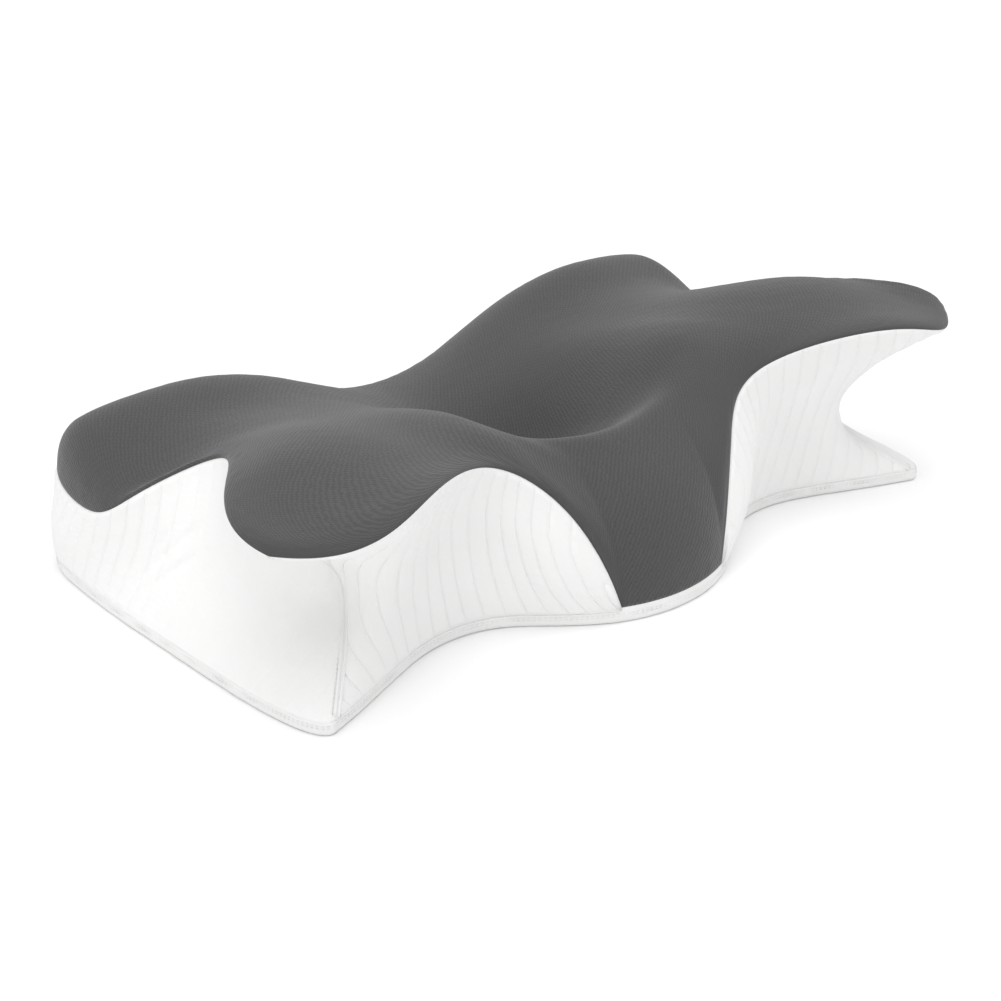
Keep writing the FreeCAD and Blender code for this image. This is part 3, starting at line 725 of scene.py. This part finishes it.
def crease(grid, start, end, width, depth):
    """A fold between two points in millimetres, which fades at its ends."""
    start, end = np.array(start) * MM, np.array(end) * MM
    along = (grid - start) @ (end - start) / ((end - start) @ (end - start))
    away = np.linalg.norm(grid - start - np.clip(along, 0, 1)[..., None] * (end - start), axis=2)
    fade = ease(np.minimum(along, 1 - along) * 3 + 0.35)
    return -depth * MM * fade * np.exp(-(away / (width * MM)) ** 2)


def borders(grid):
    """Distance of each point from the grid's foot, head, first column and last column."""
    up, across = lengths(grid, 0), lengths(grid, 1)
    return up, up[-1:] - up, across, across[:, -1:] - across


# Places of the columns across a channel, crowded beside its stitch lines.
PHASES = np.array([0.0, 0.03, 0.065, 0.105, 0.16, 0.28, 0.5, 0.72, 0.84, 0.895, 0.935, 0.97])


def on_channels(across, fields):
    """The fields at columns that run along the channels, and which point each place of them uses.

    A channel that ends at a border has its columns gathered in one point there.
    """
    low, high = math.floor(across.min() / PITCH), math.ceil(across.max() / PITCH)
    columns = np.append(((np.arange(low, high)[:, None] + PHASES) * PITCH).ravel(), high * PITCH)
    laid = [np.empty((len(across), len(columns)) + field.shape[2:]) for field in fields]
    number = np.empty((len(across), len(columns)), int)
    for row, line in enumerate(across):
        at = np.interp(columns, line, np.arange(len(line)))
        left = np.minimum(at.astype(int), len(line) - 2)
        for out, field in zip(laid, fields):
            share = (at - left).reshape((-1,) + (1,) * (field.ndim - 2))
            out[row] = field[row, left] * (1 - share) + field[row, left + 1] * share
        inside = np.flatnonzero((columns > line[0]) & (columns < line[-1]))
        number[row] = row * len(columns) + np.clip(np.arange(len(columns)), inside[0] - 1, inside[-1] + 1)
    return columns, laid, number


def quilted(name, grid, anchor, seed, lean=0.0, creases=(), taut=None, hole=None, flip=False):
    """Quilted wall: upright channels of even width between stitch lines, sewn flat at its edges.

    The channels are counted from the anchor column. Past it they lean back by the slope lean.
    They are pulled nearly flat where y is below taut. hole is the half length and top of a slot
    along the foot. flip makes the left-hand wall from the right-hand grid.
    """
    grid = onto_frame(grid)
    foot, head, first, last = borders(grid)
    flat = lengths(grid * [1, 1, 0], 1)
    flat = flat - flat[:, [anchor]]
    across = first - first[:, [anchor]]
    if lean:
        leaned = flat + lean * (grid[..., 2] - STRIP) * ease(flat / LEAN_REACH)
        across = np.where(flat > 0, leaned, across)
    across = across + WANDER * PITCH * ripple(across, foot, 90 * MM, seed)
    across = np.maximum.accumulate(across + np.arange(across.shape[1]) * 1e-7, axis=1)
    columns, laid, number = on_channels(across, [grid, grid_normals(grid, 4), foot, head, first, last])
    grid, normals, foot, head, first, last = laid
    nearest = np.minimum.reduce([foot, head, first, last])
    channel = columns[None] / PITCH + 1e-6
    phase = channel - np.floor(channel)
    size = 0.85 + 0.3 * np.sin(np.floor(channel) * 2.4 + seed)
    beside_line = PITCH * np.minimum(phase, 1 - phase)
    furrow = GROOVE * (1 - np.exp(-(beside_line / FURROW) ** 1.3))
    puff = (furrow + CROWN * size * np.sin(math.pi * phase)) * ease(nearest / SEWN)
    if taut is not None:
        puff = puff * (TAUT_PUFF + (1 - TAUT_PUFF) * ease((grid[..., 1] - taut) / TAUT_REACH))
    along = columns[None] + 0 * foot
    gather = GATHER * ripple(along, foot * 2.2, 10 * MM, seed + 1) * ease(nearest / (3 * MM))
    slack = SLACK * ripple(along, foot, 110 * MM, seed + 2) * ease(nearest / (30 * MM))
    folds = sum((crease(grid, *fold) for fold in creases), np.zeros(foot.shape))
    edge = lip(np.minimum(head, 30 * MM), 0.45 * MM, 2.0 * MM) + lip(nearest, 0.15 * MM, 2.0 * MM)
    height = puff + gather + slack + edge + folds * ease(nearest / SEWN)
    moved = grid + normals * height[..., None]
    inner = grid - normals * cloth_depth(nearest)
    uv = np.stack([along, foot], axis=-1)
    if hole is not None:
        middle = (grid[:-1, :-1] + grid[1:, 1:]) / 2
        hole = (np.abs(middle[..., 0]) < hole[0]) & (middle[..., 2] < hole[1])
    if flip:
        count = moved.shape[1]
        number = number[:, ::-1]
        number = number // count * count + count - 1 - number % count
        moved, inner, uv = mirrored(moved), mirrored(inner), uv[:, ::-1]
    return shell(name, moved, inner, uv, number, hole)


def foot_column(grid, axis, value):
    """The column whose foot comes nearest a value of x (axis 0) or y (axis 1), in millimetres."""
    return int(np.argmin(np.abs(grid[0, :, axis] - value * MM)))


def knit_top(name, step):
    """The grey top, tight over the foam, with a soft fold along its seam."""
    grid = onto_frame(top_surface(step))
    back, front, left, right = borders(grid)
    across = blur(left - left[:, [grid.shape[1] // 2]], 4)
    nearest = np.minimum.reduce([back, front, left, right])
    inside = ease(nearest / (25 * MM))
    height = lip(nearest, 0.3 * MM, 1.8 * MM)
    height += 0.35 * MM * ripple(across, back, 85 * MM, 5) * inside
    height += 0.16 * MM * ripple(across, back, 17 * MM, 6) * ease(nearest / (5 * MM)) * (1.4 - inside)
    normals = grid_normals(grid)
    moved = grid + normals * height[..., None]
    return shell(name, moved, grid - normals * cloth_depth(nearest), np.stack([across, back], axis=-1))


# Profile of the plain band from its upper seam down and under the pillow (out, height), millimetres.
BAND = [(0.0, 1.0), (0.12, 0.94), (0.22, 0.84), (0.15, 0.74), (0.25, 0.62), (0.3, 0.45), (0.15, 0.28),
        (-0.35, 0.14), (-1.3, 0.045), (-2.6, 0.0)]
TONGUE_RISE = 2.5 * MM    # how much higher the band is under the tongue


def base_outline(step):
    """The closed base outline, clockwise from above, with its outward directions and band heights."""
    back = even_numbers(ROUND, -FRONT_CORNER, FRONT_CORNER, step)
    front = even_numbers((SMOOTH_FRONT,) * 3, *SMOOTH_FRONT, step)
    points = np.concatenate([smooth_line(BASE, *SMOOTH_BACK)(back)[:-1],
                             smooth_line(BASE, *SMOOTH_FRONT)(front)[:-1]])
    along = np.roll(points, -1, axis=0) - np.roll(points, 1, axis=0)
    outward = np.stack([-along[:, 1], along[:, 0], np.zeros(len(points))], axis=1)
    for _ in range(6):
        outward = unit(outward)
        outward = (np.roll(outward, 1, axis=0) + 2 * outward + np.roll(outward, -1, axis=0)) / 4
    corner = abs(station(BASE, TONGUE_CORNER)[0])
    on_tongue = ease((corner - np.abs(points[:, 0])) / (2 * MM) + 1) * (points[:, 1] < 0)
    return points, unit(outward), STRIP + TONGUE_RISE * on_tongue


def base_cover(name, step):
    """The underside and the plain band that turns up round the sides."""
    points, outward, top = base_outline(step)
    count = len(points)
    round_it = run(points)
    rows = []
    for out, share in BAND:
        wobble = 0.25 * MM * ripple(round_it, out * 4 * MM, 40 * MM, 21) * math.sin(math.pi * share)
        row = points + outward * (out * MM + wobble)[:, None]
        row[:, 2] = top * share
        rows.append(row)
    vertices = [tuple(p) for row in rows for p in row]
    faces = turned(ring_faces(0, len(rows), count))
    on_band = len(vertices)
    rim = rows[-1]
    ring = [Vector(p[:2]) for p in rim]
    spacing = 9 * MM
    xs = np.arange(rim[:, 0].min(), rim[:, 0].max(), spacing)
    ys = np.arange(rim[:, 1].min(), rim[:, 1].max(), spacing)
    inner = [Vector((x, y)) for x in xs for y in ys
             if np.min(np.linalg.norm(rim[:, :2] - [x, y], axis=1)) > spacing * 0.6]
    edges = [(k, (k + 1) % count) for k in range(count)]
    flat, _, triangles, sources, _, _ = delaunay_2d_cdt(ring + inner, edges, [], 1, 1e-6)
    number = {}
    for k, point in enumerate(flat):
        on_rim = [i for i in sources[k] if i < count]
        if on_rim:
            number[k] = (len(rows) - 1) * count + on_rim[0]
        else:
            sag = 0.35 * MM * (1 + ripple(np.array(point.x), np.array(point.y), 70 * MM, 22))
            number[k] = len(vertices)
            vertices.append((point.x, point.y, max(float(sag), 0.0)))
    faces += [tuple(number[k] for k in reversed(triangle)) for triangle in triangles]
    uvs = [(round_it[k % count], v[2]) if k < on_band else (v[0], v[1]) for k, v in enumerate(vertices)]
    made = fix_normals(add_object(name, vertices, faces, uvs))
    thick = made.modifiers.new("thickness", "SOLIDIFY")
    thick.thickness = 1.2 * MM
    thick.offset = -1
    return apply_modifiers(made)


# ---- Stitches and sewn seams ----

# Rings of a stitch: place along it as a share of its length, width and rise as shares of its radius.
STITCH_RINGS = [(-0.5, 0.1, -0.9), (-0.42, 0.7, -0.35), (-0.15, 1.0, 0.1),
                (0.15, 1.0, 0.1), (0.42, 0.7, -0.35), (0.5, 0.1, -0.9)]
STITCH_SIDES = 6
STITCH_PITCH, STITCH_LENGTH, STITCH_RADIUS = 3.4 * MM, 2.5 * MM, 0.3 * MM


def resampled(points, values, step):
    """Values that belong to a line's points, at even steps along it."""
    along = run(points)
    return between(np.arange(step / 2, along[-1], step), along, values)


def stitches(name, lines):
    """Rows of separate stitches of thread. lines holds (points, outward directions) for each row."""
    vertices, faces, uvs = [], [], []
    turns = np.arange(STITCH_SIDES) * 2 * math.pi / STITCH_SIDES
    for points, outward in lines:
        spots = resampled(points, points, STITCH_PITCH)
        outs = resampled(points, outward, STITCH_PITCH)
        ahead = np.gradient(spots, axis=0)
        for spot, out, along in zip(spots, outs, ahead):
            along = unit(along)
            side = unit(np.cross(along, out))
            out = np.cross(side, along)
            start = len(vertices)
            for at, wide, rise in STITCH_RINGS:
                centre = spot + along * at * STITCH_LENGTH + out * rise * STITCH_RADIUS
                for turn in turns:
                    spoke = side * math.cos(turn) + out * math.sin(turn)
                    vertices.append(centre + spoke * STITCH_RADIUS * wide)
                    uvs.append((at * STITCH_LENGTH, turn * STITCH_RADIUS))
            faces += ring_faces(start, len(STITCH_RINGS), STITCH_SIDES)
            faces.append(tuple(range(start + STITCH_SIDES - 1, start - 1, -1)))
            faces.append(tuple(range(len(vertices) - STITCH_SIDES, len(vertices))))
    return add_object(name, vertices, faces, uvs)


# Section of the turned seam over a front corner: two rolls with a furrow between them (side, out),
# in millimetres, and the place of the stitches beside it.
CORNER_SECTION = [(-2.5, -1.2), (-2.4, 0.6), (-1.9, 1.5), (-1.2, 1.8), (-0.6, 1.4), (-0.2, 0.7), (0.2, 0.7),
                  (0.6, 1.4), (1.2, 1.8), (1.9, 1.5), (2.4, 0.6), (2.5, -1.2)]
CORNER_STITCHES = (-2.9 * MM, 2.9 * MM)


def sweep(name, points, outward, section):
    """Closed strip of the given section along a line."""
    ahead = unit(np.gradient(points, axis=0))
    side = unit(np.cross(ahead, outward))
    out = np.cross(side, ahead)
    around = len(section)
    along = run(points)
    vertices, uvs = [], []
    for k in range(len(points)):
        for across, rise in section:
            vertices.append(points[k] + side[k] * across * MM + out[k] * rise * MM)
            uvs.append((across * MM, along[k]))
    faces = turned(ring_faces(0, len(points), around))
    faces.append(tuple(range(around)))
    faces.append(tuple(range(len(vertices) - 1, len(vertices) - around - 1, -1)))
    return add_object(name, vertices, faces, uvs)


def corner_pieces(side_grid, end_grid, hand):
    """The turned seam over a front corner, with a row of stitches on each side of it."""
    outward = unit(grid_normals(side_grid, 8)[:, 0] + grid_normals(end_grid, 8)[:, -1])
    for _ in range(8):
        outward[1:-1] = (outward[:-2] + 2 * outward[1:-1] + outward[2:]) / 4
        outward = unit(outward)
    turn = [-1, 1, 1] if hand == "left" else [1, 1, 1]
    line = side_grid[1:-1, 0] * turn
    outward = outward[1:-1] * turn
    seam = sweep("corner_seam_roll_" + hand, line, outward, CORNER_SECTION)
    side = unit(np.cross(np.gradient(line, axis=0), outward))
    rows = [(line + outward * 0.35 * MM + side * across, outward) for across in CORNER_STITCHES]
    return seam, stitches("corner_stitches_" + hand, rows)


# ---- Zip ----

TAPE_LOW, TAPE_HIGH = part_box("zip_tape_lower")
UPPER_LOW, UPPER_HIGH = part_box("zip_tape_upper")
ZIP_Y = (TAPE_LOW.y + TAPE_HIGH.y) / 2
ZIP_Z = (TAPE_LOW.z + UPPER_HIGH.z) / 2
ZIP_HALF = TAPE_HIGH.x
TOOTH_PITCH = 2.5 * MM

# One tooth from its root on the tape to its head beside the middle (across the zip, half width), and
# the layers through it (depth in millimetres, share of the full outline).
TOOTH = [(2.3, 0.6), (2.15, 0.72), (1.6, 0.72), (1.25, 0.5),
         (1.05, 0.5), (0.85, 0.68), (0.65, 0.68), (0.5, 0.45)]
TOOTH_THICK = [(-0.95, 0.8), (-0.75, 1.0), (0.75, 1.0), (0.95, 0.8)]


def tooth_row(name, side):
    """Moulded teeth along one tape, half a pitch out of step with those of the other."""
    row_low, row_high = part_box("zip_teeth_upper" if side > 0 else "zip_teeth_lower")
    shift = TOOTH_PITCH / 2 if side < 0 else 0.0
    count = int((row_high.x - row_low.x - shift) / TOOTH_PITCH)
    vertices, faces, uvs = [], [], []
    outline = TOOTH + [(across, -half) for across, half in reversed(TOOTH)]
    around = len(outline)
    for number in range(count):
        centre = row_low.x + shift + TOOTH_PITCH * (number + 0.5)
        start = len(vertices)
        for y, scale in TOOTH_THICK:
            for across, half in outline:
                vertices.append((centre + half * scale * MM, ZIP_Y + y * MM, ZIP_Z + side * across * MM))
                uvs.append((half * MM, across * MM))
        faces += ring_faces(start, len(TOOTH_THICK), around)
        faces.append(tuple(range(start + around - 1, start - 1, -1)))
        faces.append(tuple(range(len(vertices) - around, len(vertices))))
    return fix_normals(add_object(name, vertices, faces, uvs))


def tape(name, side):
    """Woven tape, a little wavy, with a corded edge along the teeth."""
    low, high = (UPPER_LOW, UPPER_HIGH) if side > 0 else (TAPE_LOW, TAPE_HIGH)
    xs = np.linspace(low.x, high.x, 361)
    zs = np.linspace(low.z, high.z, 9)
    x, z = np.meshgrid(xs, zs)
    near_teeth = np.abs(z - ZIP_Z)
    cord = 0.18 * MM * np.exp(-((near_teeth - 3.0 * MM) / (0.5 * MM)) ** 2)
    y = ZIP_Y + 0.3 * MM + cord + 0.06 * MM * ripple(x, z, 25 * MM, 31 + side)
    grid = np.stack([x, y, z], axis=-1)
    under = grid - [0, 0.5 * MM, 0]
    return fix_normals(shell(name, grid[:, ::-1], under[:, ::-1], np.stack([x, z], axis=-1)[:, ::-1]))


def rounded_copy(name, node, width):
    """The CAD node's shape with its edges broken by small bevels."""
    made = linked(name, welded(cad_copy(node), flatten=0.02))
    bevel = made.modifiers.new("edges", "BEVEL")
    bevel.width = width
    bevel.segments = 3
    bevel.limit_method = "ANGLE"
    bevel.angle_limit = math.radians(35)
    bevel.use_clamp_overlap = True
    apply_modifiers(made)
    smooth_shaded(made.data)
    return made


# ---- Inside ----

def foam_block(name):
    """The core with the slightly uneven skin of moulded foam."""
    made = linked(name, cad_copy("foam_core"))
    remesh = made.modifiers.new("even", "REMESH")
    remesh.mode = "VOXEL"
    remesh.voxel_size = 4.5 * MM
    apply_modifiers(made)
    points = vertex_values(made.data, "co")
    normals = vertex_values(made.data, "normal")
    dent = 0.4 * MM * (ripple(points[:, 0] + points[:, 2], points[:, 1] - points[:, 2], 30 * MM, 41) - 1)
    points += normals * dent[:, None]
    made.data.vertices.foreach_set("co", points.ravel())
    smooth_shaded(made.data)
    return made


def liner_piece(name, node):
    """A jersey sleeve of the CAD node's shape, with small slack ripples that stay within its thickness."""
    mesh = welded(cad_copy(node))
    points = vertex_values(mesh, "co")
    points[:, 2] += 0.08 * MM * ripple(points[:, 0], points[:, 1], 14 * MM, 51)
    mesh.vertices.foreach_set("co", points.ravel())
    lay_cloth(mesh, points[:, :2])
    smooth_shaded(mesh)
    return linked(name, mesh)


# ---- The pillow ----

STEP = 2.0 * MM
ROW_STEP = 1.9 * MM
TOP_STEP = 2.5 * MM
BAND_STEP = 2.5 * MM

GREY = grey_knit()
QUILT = white_cloth("white_quilted_knit")
PLAIN = white_cloth("white_plain_knit", loop=1.1, relief=0.16)
BINDING = white_cloth("white_binding", tone=(0.85, 0.85, 0.845), loop=0.6, relief=0.1)
JERSEY = white_cloth("liner_jersey", tone=(0.84, 0.84, 0.82), loop=0.7, relief=0.08)
THREAD = thread()
NICKEL = plated_metal()
NYLON = moulded_plastic()

finish_piece(knit_top("grey_knit_top", TOP_STEP), GREY, "grey_knit", "top_panel", fill=0.7)

WALL_ROWS = int(0.14 / ROW_STEP)
SIDE_GRID = wall(SIDES, even_numbers(SIDES, FRONT_CORNER, TONGUE_CORNER, STEP), WALL_ROWS)
END_GRID = wall(ROUND, even_numbers(ROUND, BACK_JOIN, FRONT_CORNER, STEP), WALL_ROWS)
FLANK = foot_column(SIDE_GRID, 0, 118)
TURN = foot_column(END_GRID, 1, 110)
for hand, seed, folds in (("right", 12, RIGHT_FOLDS), ("left", 11, LEFT_FOLDS)):
    flip = hand == "left"
    piece = quilted("quilted_front_wall_" + hand, SIDE_GRID, FLANK, seed, lean=0.3, flip=flip)
    finish_piece(piece, QUILT, "quilted_knit", "front_side_panel_" + hand, fill=0.4)
    piece = quilted("quilted_end_wall_" + hand, END_GRID, TURN, seed + 2, creases=folds, taut=-5 * MM,
                    flip=flip)
    finish_piece(piece, QUILT, "quilted_knit", "end_panel_" + hand, fill=0.4)
    seam, sewn = corner_pieces(SIDE_GRID, END_GRID, hand)
    finish_piece(fix_normals(seam), BINDING, "seam_binding", "corner_seam_" + hand)
    finish_piece(sewn, THREAD, "seam_binding")

ZIP_TOP = UPPER_HIGH.z + 0.1 * MM
BACK_GRID = wall(ROUND, even_numbers(ROUND, -BACK_JOIN, BACK_JOIN, STEP), 40, knee=ZIP_TOP)
piece = quilted("quilted_back_wall", BACK_GRID, BACK_GRID.shape[1] // 2, 15, hole=(ZIP_HALF, ZIP_TOP))
finish_piece(piece, QUILT, "quilted_knit", "back_side_panel", fill=0.4)

finish_piece(fix_normals(base_cover("plain_base", BAND_STEP)), PLAIN, "white_knit", "base_panel")
RIM, RIM_OUT = (np.concatenate([ring, ring[:1]]) for ring in base_outline(BAND_STEP)[:2])
ROWS = [(RIM * [1, 1, 0] + [0, 0, height * MM] + RIM_OUT * 0.22 * MM, RIM_OUT) for height in (7.2, 5.4)]
finish_piece(stitches("band_stitches", ROWS), THREAD, "white_knit")

for side, word in ((1, "upper"), (-1, "lower")):
    finish_piece(tape("zip_tape_woven_" + word, side), woven_tape(), "zip_tape", "zip_tape_" + word)
    finish_piece(tooth_row("zip_tooth_row_" + word, side), NYLON, "zip_teeth", "zip_teeth_" + word)
for name, node, body in (("zip_stop_bottom", "zip_bottom_stop", BODY),
                         ("zip_stops_top", "zip_top_stops", BODY),
                         ("zip_slider_plated", "zip_slider", "zip_slider_body"),
                         ("zip_pull_plated", "zip_pull", "zip_pull_body")):
    finish_piece(rounded_copy(name, node, 0.15 * MM), NICKEL, "zip_metal", node, body=body)

finish_piece(foam_block("foam_block"), open_foam(), "memory_foam", "foam_core", fill=1.0)
for half in ("top", "body"):
    piece = liner_piece("liner_sleeve_" + half, "liner_" + half)
    finish_piece(piece, JERSEY, "liner_jersey", "liner_" + half)


# ---- Floor, light and camera ----

# Lamps that shine at the pillow: name, kind, place, size (of a sun, its angle) and strength.
LAMPS = [("key", "AREA", (-2.2, -0.5, 0.8), 0.6, 6),
         ("sky", "SUN", (-0.1, -0.2, 2.2), 1.2, 1.6),
         ("front", "AREA", (0.8, -2.4, 0.9), 1.2, 3)]

# The camera looks along this direction from this distance. Its frame is 1001 units wide, in which
# the focal length and the shifts are given.
AZIMUTH, ELEVATION, ROLL = math.radians(-40.788), math.radians(24.418), math.radians(-0.188)
TARGET = Vector((0, 0.003, 0.05))
DISTANCE = 1.44366
FRAME_WIDTH, FOCAL_LENGTH, SHIFT_X, SHIFT_Y = 1001, 2058.8, -3.5, -49


def studio():
    """A seamless pale floor with soft light from above, the left and the front."""
    bpy.ops.mesh.primitive_grid_add(x_subdivisions=60, y_subdivisions=60, size=60)
    floor = bpy.context.object
    floor.name = "studio_floor"
    n = Nodes("studio_white", 0.9)
    speck = n.noise(n.place(), 3.0)
    n.colour(n.ramp(speck, [(0.3, (0.93, 0.93, 0.93)), (0.7, (0.95, 0.95, 0.95))]))
    floor.data.materials.append(n.material)
    world = bpy.data.worlds.new("studio")
    SCENE.world = world
    world.use_nodes = True
    background = world.node_tree.nodes["Background"]
    background.inputs["Color"].default_value = (1, 1, 1, 1)
    background.inputs["Strength"].default_value = 0.64
    for name, kind, place, size, power in LAMPS:
        light = bpy.data.lights.new(name, kind)
        if kind == "AREA":
            light.size = size
        else:
            light.angle = size
        light.energy = power
        lamp = linked(name, light)
        lamp.location = place
        lamp.rotation_euler = (Vector((0, 0, 0.05)) - Vector(place)).to_track_quat("-Z", "Y").to_euler()
    SCENE.view_settings.view_transform = "Standard"


def camera():
    """The studio camera, seen from in front, to the left and above."""
    level = math.cos(ELEVATION)
    back = Vector((math.sin(AZIMUTH) * level, -math.cos(AZIMUTH) * level, math.sin(ELEVATION)))
    right = Vector((math.cos(AZIMUTH), math.sin(AZIMUTH), 0))
    up = back.cross(right)
    right, up = right * math.cos(ROLL) + up * math.sin(ROLL), up * math.cos(ROLL) - right * math.sin(ROLL)
    data = bpy.data.cameras.new("studio_camera")
    made = linked("studio_camera", data)
    made.location = TARGET + back * DISTANCE
    axes = made.matrix_world.to_3x3()
    axes.col[0], axes.col[1], axes.col[2] = right, up, back
    made.rotation_euler = axes.to_euler()
    data.sensor_width = 36
    data.lens = FOCAL_LENGTH / FRAME_WIDTH * data.sensor_width
    data.shift_x = SHIFT_X / FRAME_WIDTH
    data.shift_y = SHIFT_Y / FRAME_WIDTH
    data.clip_end = 30
    SCENE.camera = made


studio()
camera()
